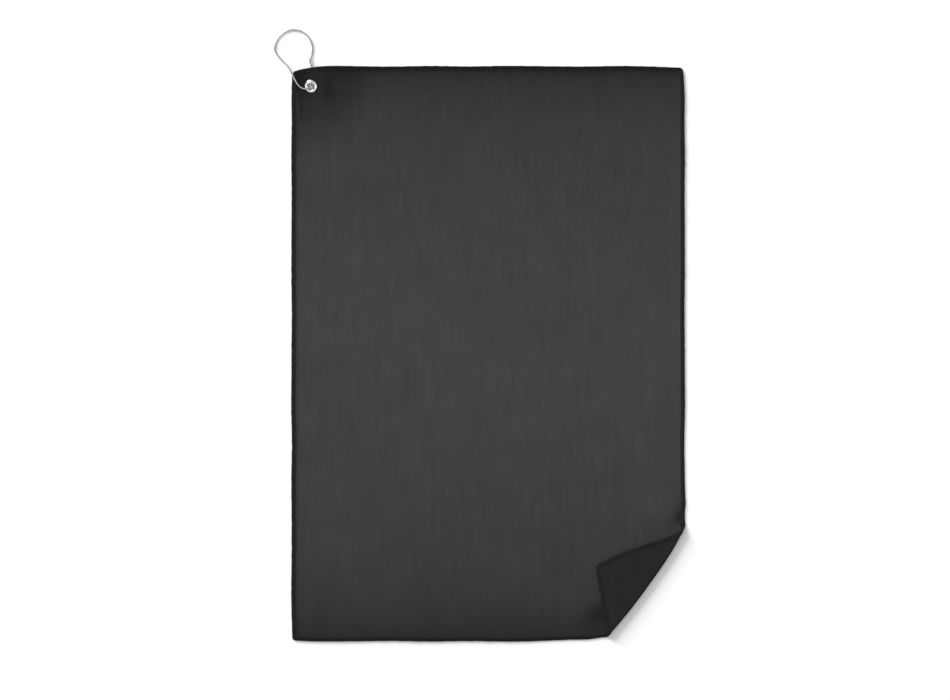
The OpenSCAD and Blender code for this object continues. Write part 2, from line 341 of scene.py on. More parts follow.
def new_mesh(name, points, faces, materials, face_material=None, uv=None):
    """An object from points in millimetres. uv holds one pair for each point."""
    mesh = bpy.data.meshes.new(name)
    mesh.from_pydata((np.asarray(points) * MM).tolist(), [], [list(map(int, f)) for f in faces])
    for material in materials:
        mesh.materials.append(material)
    if face_material is not None:
        mesh.polygons.foreach_set("material_index", np.asarray(face_material, np.int32))
    if uv is not None:
        layer = mesh.uv_layers.new(name="Flat")
        corners = np.zeros(len(mesh.loops), np.int32)
        mesh.loops.foreach_get("vertex_index", corners)
        layer.data.foreach_set("uv", np.asarray(uv, np.float32)[corners].ravel())
    mesh.polygons.foreach_set("use_smooth", np.ones(len(mesh.polygons), bool))
    mesh.update()
    obj = bpy.data.objects.new(name, mesh)
    bpy.context.scene.collection.objects.link(obj)
    return obj


def spread(low, high, step):
    return np.linspace(low, high, max(2, round((high - low) / step) + 1))


def rounded(x, y, half_w, half_l, radius):
    """Brings a grid's square corners in to round ones."""
    inner_x, inner_y = half_w - radius, half_l - radius
    a, b = np.maximum(np.abs(x) - inner_x, 0), np.maximum(np.abs(y) - inner_y, 0)
    both = (a > 0) & (b > 0)
    long = np.where(both, np.hypot(a, b), 1)
    grow = np.where(both, np.maximum(a, b) / long, 1)
    x = np.where(both, np.sign(x) * (inner_x + a * grow), x)
    y = np.where(both, np.sign(y) * (inner_y + b * grow), y)
    return x, y


FINE = 1.5
COARSE = 3.2
CORNER_FINE = 48
FOLD_FINE_X = HALF_W - 94
FOLD_FINE_Y = -HALF_L + 128
ROLL_STEPS = 16
HOLE_IN_CLOTH = 4.4


def flat_sheet():
    """The flat cloth as a bmesh, cut along the lines of the fold and open at the grommet."""
    half_w, half_l = HALF_W - WRAP_T, HALF_L - WRAP_T
    xs = np.concatenate([spread(-half_w, -half_w + CORNER_FINE, FINE),
                         spread(-half_w + CORNER_FINE, FOLD_FINE_X, COARSE)[1:],
                         spread(FOLD_FINE_X, half_w, FINE)[1:]])
    ys = np.concatenate([spread(-half_l, FOLD_FINE_Y, FINE),
                         spread(FOLD_FINE_Y, half_l - CORNER_FINE, COARSE)[1:],
                         spread(half_l - CORNER_FINE, half_l, FINE)[1:]])
    grid_x, grid_y = np.meshgrid(xs, ys, indexing="ij")
    grid_x, grid_y = rounded(grid_x, grid_y, half_w, half_l, CORNER_R - WRAP_T)
    from_hole = np.stack([grid_x - GROMMET[0], grid_y - GROMMET[1]], -1)
    away = np.linalg.norm(from_hole, axis=-1)
    inside = away < HOLE_IN_CLOTH
    rows, cols = grid_x.shape
    index = np.arange(rows * cols).reshape(rows, cols)
    quads = np.stack([index[:-1, :-1], index[1:, :-1], index[1:, 1:], index[:-1, 1:]], -1)
    open_quad = inside[:-1, :-1] | inside[1:, :-1] | inside[1:, 1:] | inside[:-1, 1:]
    # the ring of points round the hole moves in to a true circle
    ring = np.zeros_like(inside)
    for i, j in ((0, 0), (1, 0), (1, 1), (0, 1)):
        ring[i:rows - 1 + i, j:cols - 1 + j] |= open_quad
    ring &= ~inside
    scale = np.where(ring, HOLE_IN_CLOTH / np.maximum(away, 1e-9), 1)
    grid_x = GROMMET[0] + from_hole[..., 0] * scale
    grid_y = GROMMET[1] + from_hole[..., 1] * scale

    mesh = bpy.data.meshes.new("flat")
    points = np.stack([grid_x.ravel(), grid_y.ravel(), np.zeros(rows * cols)], -1)
    mesh.from_pydata(points.tolist(), [], quads[~open_quad].tolist())
    sheet = bmesh.new()
    sheet.from_mesh(mesh)
    bpy.data.meshes.remove(mesh)
    bmesh.ops.delete(sheet, geom=[v for v in sheet.verts if not v.link_faces], context="VERTS")
    for k in range(ROLL_STEPS + 1):
        at = OUT * (FOLD_START + ARC * k / ROLL_STEPS)
        bmesh.ops.bisect_plane(sheet, geom=sheet.verts[:] + sheet.edges[:] + sheet.faces[:],
                               dist=1e-4, plane_co=(*at, 0), plane_no=(*OUT, 0))
    return sheet


def cloth_piece(name, sheet, keep, materials):
    """A closed piece of cloth over the faces of the flat sheet that keep() picks."""
    faces = [f for f in sheet.faces if keep(f.calc_center_median())]
    verts = sorted({v for f in faces for v in f.verts}, key=lambda v: v.index)
    number = {v: i for i, v in enumerate(verts)}
    flat = np.array([v.co[:2] for v in verts])
    top = [[number[v] for v in f.verts] for f in faces]
    count = len(verts)
    rim = {}
    for face in top:
        for a, b in zip(face, face[1:] + face[:1]):
            if (b, a) in rim:
                del rim[(b, a)]
            else:
                rim[(a, b)] = True
    bottom = [[i + count for i in reversed(face)] for face in top]
    sides = [[b, a, a + count, b + count] for a, b in rim]
    half = np.full(count, CLOTH_T / 2)
    points = np.concatenate([off_cloth(*flat.T, half), off_cloth(*flat.T, -half)])
    material = [0] * len(top) + [1] * (len(bottom) + len(sides))
    uv = np.tile(flat * MM, (2, 1))
    piece = new_mesh(name, points, top + bottom + sides, materials, material, uv)
    piece.data.set_sharp_from_angle(angle=math.radians(50))
    return piece


def tube(path, up, across, sides, first=0):
    """Points, faces and uv of a tube of elliptical section along a path, with closed ends."""
    run = np.gradient(path, axis=0)
    run /= np.linalg.norm(run, axis=1, keepdims=True)
    side = np.cross(up, run)
    side /= np.linalg.norm(side, axis=1, keepdims=True)
    top = np.cross(run, side)
    turns = 2 * math.pi * np.arange(sides) / sides
    wide, high = across
    rings = (path[:, None] + wide[:, None, None] * np.cos(turns)[None, :, None] * side[:, None]
             + high[:, None, None] * np.sin(turns)[None, :, None] * top[:, None])
    n = len(path)
    index = first + np.arange(n * sides).reshape(n, sides)
    after = np.roll(index, -1, 1)
    quads = np.stack([index[:-1], after[:-1], after[1:], index[1:]], -1).reshape(-1, 4).tolist()
    ends = [index[0, ::-1].tolist(), index[-1].tolist()]
    along = np.concatenate([[0], np.cumsum(np.linalg.norm(np.diff(path, axis=0), axis=1))])
    uv = np.stack(np.broadcast_arrays(along[:, None] * MM, turns[None] / (2 * math.pi)), -1)
    return rings.reshape(-1, 3), quads + ends, uv.reshape(-1, 2)


def joined(parts):
    """One set of points, faces and uv from several tubes."""
    points, faces, uv, first = [], [], [], 0
    for part_points, part_faces, part_uv in parts:
        points.append(part_points)
        uv.append(part_uv)
        faces += [[i + first for i in f] for f in part_faces]
        first += len(part_points)
    return np.concatenate(points), faces, np.concatenate(uv)


# ---------------------------------------------------------------- the overlocked edge

SIDE_W = 2 * (HALF_W - CORNER_R)
SIDE_L = 2 * (HALF_L - CORNER_R)
BEND = math.pi * CORNER_R / 2
ROUND = 2 * SIDE_W + 2 * SIDE_L + 4 * BEND
STITCH = 1.7
THREAD_R = 0.27
NEEDLE_R = 0.2
# The back looper stays this far in, so the front one alone wraps the rim
BACK_RIM = 0.95


def rim_point(along, inward):
    """A point of the flat towel by distance clockwise round its outline from the left end of
    the top edge, and distance in from the outline."""
    along = np.mod(along, ROUND)
    starts = np.cumsum([0, SIDE_W, BEND, SIDE_L, BEND, SIDE_W, BEND, SIDE_L])
    leg = np.searchsorted(starts, along, side="right") - 1
    past = along - starts[leg]
    side = leg // 2
    corners = np.array([[1, 1], [1, -1], [-1, -1], [-1, 1]])
    centre = corners[side] * [HALF_W - CORNER_R, HALF_L - CORNER_R]
    turned = np.where(leg % 2 == 1, past / CORNER_R, 0)
    facing_out = math.pi / 2 - side * math.pi / 2 - turned
    way_out = np.stack([np.cos(facing_out), np.sin(facing_out)], -1)
    lengths = np.array([SIDE_W, SIDE_L, SIDE_W, SIDE_L])[side]
    way_on = np.stack([np.sin(facing_out), -np.cos(facing_out)], -1)
    back = np.where(leg % 2 == 0, lengths - past, 0)
    point = centre - back[..., None] * way_on + (CORNER_R - inward)[..., None] * way_out
    return point[..., 0], point[..., 1]


# One stitch of each thread: share of the stitch along, distance in from the outline, height
# out from the cloth's middle. The loopers cross the edge band and lock together at the rim.
TOP = CLOTH_T / 2 + THREAD_R
LOOPER = [(0.00, 3.75, TOP - 0.12), (0.05, 3.1, TOP + 0.05), (0.09, 2.2, TOP + 0.08),
          (0.13, 1.3, TOP + 0.05), (0.18, 0.6, TOP - 0.02), (0.30, 0.3, 0.38),
          (0.42, 0.3, 0.30), (0.52, 0.65, TOP - 0.02), (0.62, 1.4, TOP + 0.05),
          (0.73, 2.3, TOP + 0.08), (0.86, 3.2, TOP + 0.05)]
NEEDLE = [(0.00, 3.95, 0.25), (0.10, 3.95, TOP + 0.05), (0.28, 3.98, TOP + 0.2),
          (0.52, 4.0, TOP + 0.24), (0.76, 3.98, TOP + 0.2), (0.92, 3.95, TOP + 0.05)]
NEEDLE_BACK = [(share, inward, 0.75 * height) for share, inward, height in NEEDLE]
# The purl, the line of locked loops that runs along the rim itself
PURL = [(0.0, 0.34, 0.12), (0.25, 0.3, 0.0), (0.5, 0.34, -0.12), (0.75, 0.3, 0.0)]
PURL_R = 0.3


def thread(start, end, stitch, radius, side, seed):
    """A thread that repeats a stitch from one place on the outline to another, on the front
    for side 1 or on the back for side -1."""
    rng = np.random.default_rng(seed)
    count = round((end - start) / STITCH)
    shares, inward, height = np.array(stitch).T
    loose = rng.normal(0, 1, (3, count, 1))
    along = start + (np.arange(count)[:, None] + shares + 0.03 * loose[0]) * (end - start) / count
    inward = inward + 0.07 * loose[1] * (inward > 0.5)
    height = np.broadcast_to(side * height, along.shape)
    if side < 0:
        along = along + 0.5 * (end - start) / count
        inward = np.maximum(inward, BACK_RIM)
    x, y = rim_point(along.ravel(), inward.ravel())
    path = off_cloth(x, y, height.ravel())
    thick = (radius * (1 + 0.06 * loose[2]) * np.ones_like(along)).ravel()
    return tube(path, side * facing(x, y), (thick, 0.88 * thick), 6)


def overlock(name, start, end, seed, material):
    """One run of the edge: a looper thread on the front, one on the back, the needle thread's
    stitches on both, and the purl. The material is the front looper's."""
    threads = [thread(start, end, LOOPER, THREAD_R, 1, seed),
               thread(start, end, LOOPER, THREAD_R, -1, seed + 1),
               thread(start, end, NEEDLE, NEEDLE_R, 1, seed + 2),
               thread(start, end, NEEDLE_BACK, NEEDLE_R, -1, seed + 3),
               thread(start, end, PURL, PURL_R, 1, seed + 4)]
    points, faces, uv = joined(threads)
    # the purl takes the darker thread: painted shade along the rim
    colours = [material, BACK_THREAD, NEEDLE_THREAD, NEEDLE_THREAD, SHADED_THREAD]
    face_material = [k for k, part in enumerate(threads) for _ in part[1]]
    return new_mesh(name, points, faces, colours, face_material, uv)


# ---------------------------------------------------------------- metal

def grommet_frame():
    axis = Vector((RISE_WAY[1], -RISE_WAY[0], 0))
    return (Matrix.Translation((*GROMMET, GROMMET_Z))
            @ Matrix.Rotation(GROMMET_TILT, 4, axis))


def turned_ring(name, profile, material, segments=144):
    """A ring turned about the grommet's axis from a closed profile of (radius, height)."""
    profile = np.array(profile)
    turns = 2 * math.pi * np.arange(segments) / segments
    ring = np.stack([np.multiply.outer(np.cos(turns), profile[:, 0]),
                     np.multiply.outer(np.sin(turns), profile[:, 0]),
                     np.broadcast_to(profile[:, 1], (segments, len(profile)))], -1)
    place = np.array(grommet_frame())
    points = ring.reshape(-1, 3) @ place[:3, :3].T + place[:3, 3]
    index = np.arange(len(points)).reshape(segments, -1)
    on, up = np.roll(index, -1, 0), np.roll(index, -1, 1)
    quads = np.stack([index, on, np.roll(on, -1, 1), up], -1).reshape(-1, 4)
    obj = new_mesh(name, points, quads, [material], uv=ring.reshape(-1, 3)[:, :2] * MM)
    obj.data.set_sharp_from_angle(angle=math.radians(60))
    return obj


def arc(centre, radii, start, end, count):
    """Points on an elliptical arc, in degrees."""
    angles = np.radians(np.linspace(start, end, count))
    return [(centre[0] + radii[0] * math.cos(a), centre[1] + radii[1] * math.sin(a))
            for a in angles]


HOLE_R = 3.2
THROAT_R = 2.75
FLANGE_R = 6.35
METAL_T = 0.4
FACE = CLOTH_T + 0.05


def eyelet(material):
    """The rounded flange, a groove, the rolled throat that narrows down through the hole, and
    the lip set over the washer."""
    groove = HOLE_R + 1.0
    crown = (groove + FLANGE_R) / 2
    half = (FLANGE_R - groove) / 2
    profile = ([(HOLE_R + METAL_T, FACE)]
               + arc((FLANGE_R - 0.16, FACE + 0.16), (0.16, 0.16), -90, 10, 5)
               + arc((crown, FACE + 0.14), (half - 0.02, 0.45), 14, 172, 16)
               + arc((groove - 0.28, FACE + 0.3), (0.26, 0.28), 350, 520, 8)
               + [(HOLE_R + 0.2, FACE + 0.05), (HOLE_R - 0.15, FACE - 0.4), (THROAT_R, FACE - 1.0),
                  (THROAT_R, -0.6)]
               + arc((HOLE_R + 1.15, -0.65), (0.2, 0.2), 270, 400, 8)
               + [(HOLE_R + METAL_T + 0.1, -0.5), (HOLE_R + METAL_T, -0.4)])
    return turned_ring("eyelet", profile, material)


def washer(material):
    inner, outer = HOLE_R + METAL_T + 0.05, FLANGE_R
    low, high = -METAL_T - 0.05, -0.05
    profile = ([(inner, low), (outer - 0.25, low)]
               + arc((outer - 0.2, (low + high) / 2), (0.2, METAL_T / 2), -90, 90, 9)
               + [(inner, high)])
    return turned_ring("washer", profile, material)


# The hook's wire, from the grommet's centre, with heights counted from the surface
WIRE_R = 0.85
WIRE_Z = 0.9
BOW_AT = np.array([-17.8, 38.4])
BOW_R = 19.2
BOW_SPLIT = 93
BOW_LEFT = 186
BOW_RIGHT = -22
FRONT_LEG = [[-34.8, 32.3, 1.1], [-32.2, 29.0, 1.5], [-28.6, 25.2, 2.4], [-25.4, 22.3, 3.5],
             [-22.8, 19.2, 4.6], [-20.8, 16.0, 5.4], [-19.2, 12.8, 5.7], [-17.6, 9.0, 5.5],
             [-15.6, 5.2, 5.0], [-13.6, 2.0, 4.4], [-11.2, -0.6, 4.2], [-8.4, -2.2, 4.3],
             [-5.6, -2.8, 4.6], [-3.2, -2.2, 4.4]]
BACK_LEG = [[0, 0, 3.35], [2.4, 2.6, 2.2], [3.9, 5.6, 1.2], [4.2, 9.0, 0.9], [3.4, 12.5, 0.9],
            [2.0, 15.6, 0.9], [0.8, 19.0, 0.9], [-0.1, 22.0, 1.0]]
CATCH = [[-0.6, 23.6, 1.5], [-1.0, 24.9, 2.3], [-1.3, 26.1, 2.75], [-1.3, 27.2, 2.85],
         [-0.9, 28.5, 2.85]]
GATE_TIP = [[-0.5, 29.7, 0.9], [-1.0, 28.4, 0.9], [-1.3, 27.3, 0.9], [-1.4, 26.7, 0.9]]


def spline(points, steps):
    """A smooth curve through a list of points."""
    p = np.array(points, float)
    a, b, c, d = np.vstack([p[:1], p[:-2]]), p[:-1], p[1:], np.vstack([p[2:], p[-1:]])
    t = (np.arange(steps) / steps)[:, None, None]
    curve = 0.5 * (2 * b + (c - a) * t + (2 * a - 5 * b + 4 * c - d) * t ** 2
                   + (3 * b - a - 3 * c + d) * t ** 3)
    return np.vstack([curve.transpose(1, 0, 2).reshape(-1, 3), p[-1:]])


def bow(start, end, step=2.5):
    angles = np.radians(spread(min(start, end), max(start, end), step))
    if end < start:
        angles = angles[::-1]
    return np.stack([BOW_AT[0] + BOW_R * np.cos(angles), BOW_AT[1] + BOW_R * np.sin(angles),
                     np.full(len(angles), WIRE_Z)], -1)


def round_wire(name, path, material, open_end=False):
    """Round wire along a path whose far end is dressed round, and whose near end is closed flat
    unless it meets more wire there."""
    path = path + [*GROMMET, 0]
    cap = np.sin(np.radians([0, 30, 55, 75]))
    shrink = np.cos(np.radians([0, 30, 55, 75]))
    way = path[-1] - path[-2]
    way /= np.linalg.norm(way)
    far = path[-1] + 0.55 * WIRE_R * np.multiply.outer(cap[1:], way)
    path = np.vstack([path, far])
    radius = np.concatenate([np.full(len(path) - 3, WIRE_R), WIRE_R * shrink[1:]])
    up = np.broadcast_to([0.0, 0.0, 1.0], path.shape)
    points, faces, uv = tube(path, up, (radius, radius), 20)
    if open_end:
        faces = faces[:-2] + faces[-1:]
    obj = new_mesh(name, points, faces, [material], uv=uv)
    obj.data.set_sharp_from_angle(angle=math.radians(50))
    return obj


# ---------------------------------------------------------------- materials

class Nodes:
    """A material's node tree, with short calls for the nodes that the materials use."""

    def __init__(self, name):
        self.material = bpy.data.materials.new(name)
        self.material.use_nodes = True
        self.tree = self.material.node_tree
        self.shader = self.tree.nodes["Principled BSDF"]

    def node(self, kind, inputs=None, **settings):
        made = self.tree.nodes.new(kind)
        for key, value in settings.items():
            setattr(made, key, value)
        for key, value in (inputs or {}).items():
            if isinstance(value, bpy.types.NodeSocket):
                self.tree.links.new(value, made.inputs[key])
            else:
                made.inputs[key].default_value = value
        return made

    def flat(self):
        """Place on the flat towel, or along and round a thread or wire."""
        return self.node("ShaderNodeUVMap", uv_map="Flat").outputs["UV"]

    def parts(self, vector):
        return self.node("ShaderNodeSeparateXYZ", {0: vector}).outputs

    def math(self, operation, a, b=0.0, clamp=False):
        return self.node("ShaderNodeMath", {0: a, 1: b}, operation=operation,
                         use_clamp=clamp).outputs[0]

    def noise(self, vector, scale, detail=3.0, roughness=0.5):
        return self.node("ShaderNodeTexNoise", {"Vector": vector, "Scale": scale,
                         "Detail": detail, "Roughness": roughness}).outputs["Fac"]

    def between(self, value, low, high, to_low=0.0, to_high=1.0):
        return self.node("ShaderNodeMapRange", {"Value": value, "From Min": low,
                         "From Max": high, "To Min": to_low, "To Max": to_high}).outputs[0]

    def mix(self, share, a, b):
        made = self.node("ShaderNodeMix", data_type="RGBA")
        for socket, value in (("Factor_Float", share), ("A_Color", a), ("B_Color", b)):
            target = next(s for s in made.inputs if s.identifier == socket)
            if isinstance(value, bpy.types.NodeSocket):
                self.tree.links.new(value, target)
            else:
                target.default_value = value
        return next(s for s in made.outputs if s.identifier == "Result_Color")

    def bump(self, height, distance, strength=1.0, normal=None):
        inputs = {"Height": height, "Distance": distance, "Strength": strength}
        if normal is not None:
            inputs["Normal"] = normal
        return self.node("ShaderNodeBump", inputs).outputs["Normal"]

    def set(self, **values):
        """Sets the shader's sockets: spaces in their names are written as underscores."""
        for key, value in values.items():
            socket = self.shader.inputs[key.replace("_", " ")]
            if isinstance(value, bpy.types.NodeSocket):
                self.tree.links.new(value, socket)
            else:
                socket.default_value = value
        return self.material


def grey(value, warmth=0.0):
    return (value * (1 + warmth), value, value * (1 - warmth), 1.0)


LATTICE_X = 2.287 * MM
LATTICE_Y = 3.18 * MM


def waffle(n, flat):
    """Height, 0 to 1, of the knit's staggered lattice of loops."""
    wander = n.noise(flat, 260.0, 2.0)
    shift = n.math("MULTIPLY", n.math("SUBTRACT", wander, 0.5), 0.0007)
    x, y, _ = n.parts(flat)
    turn_x = n.math("MULTIPLY", n.math("ADD", x, shift), 2 * math.pi / LATTICE_X)
    turn_y = n.math("MULTIPLY", n.math("ADD", y, shift), 2 * math.pi / LATTICE_Y)
    dots = n.math("MULTIPLY", n.math("COSINE", turn_x), n.math("COSINE", turn_y))
    return n.between(dots, -1.0, 1.0)


def corner_painted_shade(n, flat):
    """Painted shade by distance from the hook's corner: darker towards the corner, for the shade
    of the corner that rides up over the hook.
    """
    x, y, _ = n.parts(flat)
    dx = n.math("ADD", x, HALF_W * MM)
    dy = n.math("SUBTRACT", HALF_L * MM, y)
    away = n.math("SQRT", n.math("ADD", n.math("MULTIPLY", dx, dx), n.math("MULTIPLY", dy, dy)))
    return n.math("MULTIPLY", n.between(away, 0.0, 0.095, 0.2, 1.0),
                  n.between(away, 0.0, 0.02, 0.3, 1.0))


def ends_painted_falloff(n, flat):
    """Painted shade along the towel: darker towards both ends, for the light that falls off there.
    """
    _, y, _ = n.parts(flat)
    share = n.math("ABSOLUTE", n.math("DIVIDE", y, HALF_L * MM))
    broad = n.math("MULTIPLY", n.math("POWER", share, 2.0), 0.36)
    close = n.math("MULTIPLY", n.math("POWER", share, 10.0), 0.36)
    return n.math("SUBTRACT", n.math("SUBTRACT", 1.0, broad), close)


def from_outline(n, flat):
    """Distance in from the towel's outline, in metres."""
    x, y, _ = n.parts(flat)
    from_side = n.math("SUBTRACT", HALF_W * MM, n.math("ABSOLUTE", x))
    from_end = n.math("SUBTRACT", HALF_L * MM, n.math("ABSOLUTE", y))
    return n.math("MINIMUM", from_side, from_end)


def hem_painted_shade(n, flat):
    """Painted shade on the front beside the outline: the cloth is darker under its hem and just
    inside it, where the threads shade it.
    """
    away = from_outline(n, flat)
    return n.math("MULTIPLY", n.between(away, 0.0036, 0.0048, 0.5, 1.0),
                  n.between(away, 0.004, 0.008, 0.93, 1.0))


def spot(n, flat, centre, radii, least):
    """Tone that falls to a least value in a soft oval spot."""
    x, y, _ = n.parts(flat)
    dx = n.math("DIVIDE", n.math("SUBTRACT", x, centre[0] * MM), radii[0] * MM)
    dy = n.math("DIVIDE", n.math("SUBTRACT", y, centre[1] * MM), radii[1] * MM)
    away = n.math("ADD", n.math("MULTIPLY", dx, dx), n.math("MULTIPLY", dy, dy))
    return n.math("SUBTRACT", 1.0, n.math("MULTIPLY", n.math("EXPONENT", n.math(
        "MULTIPLY", away, -1.0)), 1.0 - least))


def fold_ends_painted_shade(n, flat):
    """Painted shade beside the two ends of the fold, where the cloth dips."""
    return n.math("MULTIPLY", spot(n, flat, (HALF_W - 2, -168), (11, 13), 0.3),
                  spot(n, flat, (113, -268), (12, 14), 0.42))


def streaks(n, flat, scale):
    """Noise drawn out along the towel's length, as the knit's wales are."""
    x, y, _ = n.parts(flat)
    stretched = n.node("ShaderNodeCombineXYZ", {0: x, 1: n.math("MULTIPLY", y, 0.09)}).outputs[0]
    return n.noise(stretched, scale, 3.0, 0.6)


def microfibre_front():
    n = Nodes("microfibre_front")
    flat = n.flat()
    lattice = waffle(n, flat)
    depth = n.between(streaks(n, flat, 42.0), 0.38, 0.62, 0.35, 1.15)
    hollow_shade_share = n.math("ADD", n.math("MULTIPLY", n.math("SUBTRACT", lattice, 0.5), depth), 0.5)
    fuzz = n.noise(flat, 5200.0, 3.0, 0.65)
    nap = n.noise(flat, 34.0, 3.0, 0.55)
    patches = n.noise(flat, 9.0, 2.0, 0.5)
    tone = n.math("MULTIPLY", n.between(nap, 0.25, 0.75, 0.94, 1.06),
                  n.between(patches, 0.3, 0.7, 0.96, 1.04))
    tone = n.math("MULTIPLY", tone, n.between(streaks(n, flat, 190.0), 0.3, 0.7, 0.91, 1.09))
    tone = n.math("MULTIPLY", tone, n.between(fuzz, 0.2, 0.8, 0.82, 1.18))
    # the tone takes painted shade near the hook's corner, towards both ends, under the hem and
    # beside the fold's ends
    for shade in (corner_painted_shade, ends_painted_falloff, hem_painted_shade, fold_ends_painted_shade):
        tone = n.math("MULTIPLY", tone, shade(n, flat))
    # painted shade: the knit's hollows are coloured dark and its loops light, by the lattice's
    # height
    loops = n.mix(hollow_shade_share, grey(0.0145), grey(0.061))
    scaled = n.node("ShaderNodeVectorMath", {0: loops}, operation="SCALE")
    n.tree.links.new(tone, scaled.inputs["Scale"])
    raised = n.bump(lattice, 0.35 * MM, 0.8)
    return n.set(Base_Color=scaled.outputs[0], Roughness=0.9, Specular_IOR_Level=0.2,
                 Sheen_Weight=0.06, Sheen_Roughness=0.45,
                 Normal=n.bump(fuzz, 0.12 * MM, 0.7, raised))


def microfibre_back():
    n = Nodes("microfibre_back")
    flat = n.flat()
    fuzz = n.noise(flat, 4200.0, 3.0, 0.6)
    nap = n.noise(flat, 40.0, 3.0, 0.55)
    x, y, _ = n.parts(flat)
    wales = n.math("SINE", n.math("MULTIPLY", x, 2 * math.pi / (0.9 * MM)))
    courses = n.math("SINE", n.math("MULTIPLY", y, 2 * math.pi / (0.75 * MM)))
    knit = n.between(n.math("MULTIPLY", wales, courses), -1.0, 1.0)
    tone = n.math("MULTIPLY", n.between(nap, 0.25, 0.75, 0.9, 1.1),
                  n.between(fuzz, 0.2, 0.8, 0.8, 1.2))
    # the cut rim, which shows between the threads, lies in their shade
    tone = n.math("MULTIPLY", tone, n.between(from_outline(n, flat), 0.0012, 0.0022, 0.2, 1.0))
    shade = n.mix(knit, grey(0.008), grey(0.0125))
    scaled = n.node("ShaderNodeVectorMath", {0: shade}, operation="SCALE")
    n.tree.links.new(tone, scaled.inputs["Scale"])
    raised = n.bump(knit, 0.08 * MM, 0.5)
    return n.set(Base_Color=scaled.outputs[0], Roughness=0.88, Specular_IOR_Level=0.15,
                 Sheen_Weight=0.03, Sheen_Roughness=0.5,
                 Normal=n.bump(fuzz, 0.1 * MM, 0.6, raised))


def overlock_thread(name, dark, light):
    n = Nodes(name)
    flat = n.flat()
    along, turn, _ = n.parts(flat)
    twist = n.math("ADD", n.math("MULTIPLY", along, 2 * math.pi / (0.8 * MM)),
                   n.math("MULTIPLY", turn, 4 * math.pi))
    ply = n.between(n.math("SINE", twist), -1.0, 1.0)
    fuzz = n.noise(n.node("ShaderNodeTexCoord").outputs["Object"], 3800.0, 2.0, 0.6)
    wear = n.noise(n.node("ShaderNodeTexCoord").outputs["Object"], 60.0, 2.0, 0.5)
    tone = n.math("MULTIPLY", n.between(fuzz, 0.25, 0.75, 0.8, 1.2),
                  n.between(wear, 0.3, 0.7, 0.92, 1.08))
    shade = n.mix(ply, grey(dark), grey(light))
    scaled = n.node("ShaderNodeVectorMath", {0: shade}, operation="SCALE")
    n.tree.links.new(tone, scaled.inputs["Scale"])
    return n.set(Base_Color=scaled.outputs[0], Roughness=0.78, Specular_IOR_Level=0.2,
                 Sheen_Weight=0.03, Sheen_Roughness=0.4, Normal=n.bump(ply, 0.06 * MM, 0.7))


def nickel():
    n = Nodes("nickel_plate")
    place = n.node("ShaderNodeTexCoord").outputs["Object"]
    cloudy = n.noise(place, 420.0, 3.0, 0.6)
    fine = n.noise(place, 5200.0, 2.0, 0.6)
    shade = n.mix(n.between(cloudy, 0.3, 0.75), grey(0.80, 0.012), grey(0.66, 0.02))
    rough = n.math("ADD", n.between(cloudy, 0.3, 0.8, 0.1, 0.24),
                   n.between(fine, 0.55, 0.8, 0.0, 0.08))
    return n.set(Base_Color=shade, Metallic=1.0, Roughness=rough,
                 Normal=n.bump(fine, 0.004 * MM, 0.4))


def spring_steel():
    n = Nodes("spring_steel")
    along, turn, _ = n.parts(n.flat())
    stretched = n.node("ShaderNodeCombineXYZ", {0: n.math("MULTIPLY", along, 60.0),
                                                1: n.math("MULTIPLY", turn, 34.0)}).outputs[0]
    drawn_lines = n.noise(stretched, 1.0, 3.0, 0.6)
    spots = n.noise(n.node("ShaderNodeTexCoord").outputs["Object"], 700.0, 2.0, 0.6)
    shade = n.mix(n.between(drawn_lines, 0.3, 0.7), grey(0.45, 0.01), grey(0.60, 0.01))
    rough = n.math("ADD", n.between(drawn_lines, 0.3, 0.7, 0.2, 0.34),
                   n.between(spots, 0.6, 0.8, 0.0, 0.12))
    return n.set(Base_Color=shade, Metallic=1.0, Roughness=rough,
                 Normal=n.bump(drawn_lines, 0.01 * MM, 0.5))


def floor_paint():
    n = Nodes("floor_paint")
    cloudy = n.noise(n.node("ShaderNodeTexCoord").outputs["Object"], 2.0, 2.0)
    shade = n.mix(cloudy, grey(0.90), grey(0.91))
    return n.set(Base_Color=shade, Roughness=0.9, Specular_IOR_Level=0.1)


# ---------------------------------------------------------------- stage

CAMERA_OVER = (-13.3, 3.8)
CAMERA_HEIGHT = 3200
FRAME_WIDTH = 966.6
SENSOR = 36


def place_camera():
    data = bpy.data.cameras.new("camera")
    data.sensor_width = SENSOR
    data.lens = SENSOR * CAMERA_HEIGHT / FRAME_WIDTH
    data.clip_end = 100
    camera = bpy.data.objects.new("camera", data)
    camera.location = (CAMERA_OVER[0] * MM, CAMERA_OVER[1] * MM, CAMERA_HEIGHT * MM)
    bpy.context.scene.collection.objects.link(camera)
    bpy.context.scene.camera = camera


def area_light(name, place, size, power):
    """A rectangular lamp turned to the middle of the floor."""
    data = bpy.data.lights.new(name, "AREA")
    data.shape = "RECTANGLE"
    data.size, data.size_y = size
    data.energy = power
    light = bpy.data.objects.new(name, data)
    light.location = place
    light.rotation_euler = (Vector() - Vector(place)).to_track_quat("-Z", "Y").to_euler()
    bpy.context.scene.collection.objects.link(light)


FLOOR_REACH = 9000
WORLD_LIGHT = 0.515


def build_stage():
    corners = [(-FLOOR_REACH, -FLOOR_REACH, 0), (FLOOR_REACH, -FLOOR_REACH, 0),
               (FLOOR_REACH, FLOOR_REACH, 0), (-FLOOR_REACH, FLOOR_REACH, 0)]
    floor = new_mesh("floor", corners, [(0, 1, 2, 3)], [floor_paint()])
    area_light("key", (-5.66, 5.66, 3.2), (4.8, 5.8), 1290)
    area_light("overhead", (0.0, 0.0, 0.9), (1.5, 0.25), 1.8)
    world = bpy.data.worlds.new("studio")
    world.use_nodes = True
    world.node_tree.nodes["Background"].inputs["Color"].default_value = (1, 1, 1, 1)
    world.node_tree.nodes["Background"].inputs["Strength"].default_value = WORLD_LIGHT
    bpy.context.scene.world = world
    bpy.context.scene.view_settings.view_transform = "Standard"


# ---------------------------------------------------------------- assembly

place_camera()
build_stage()

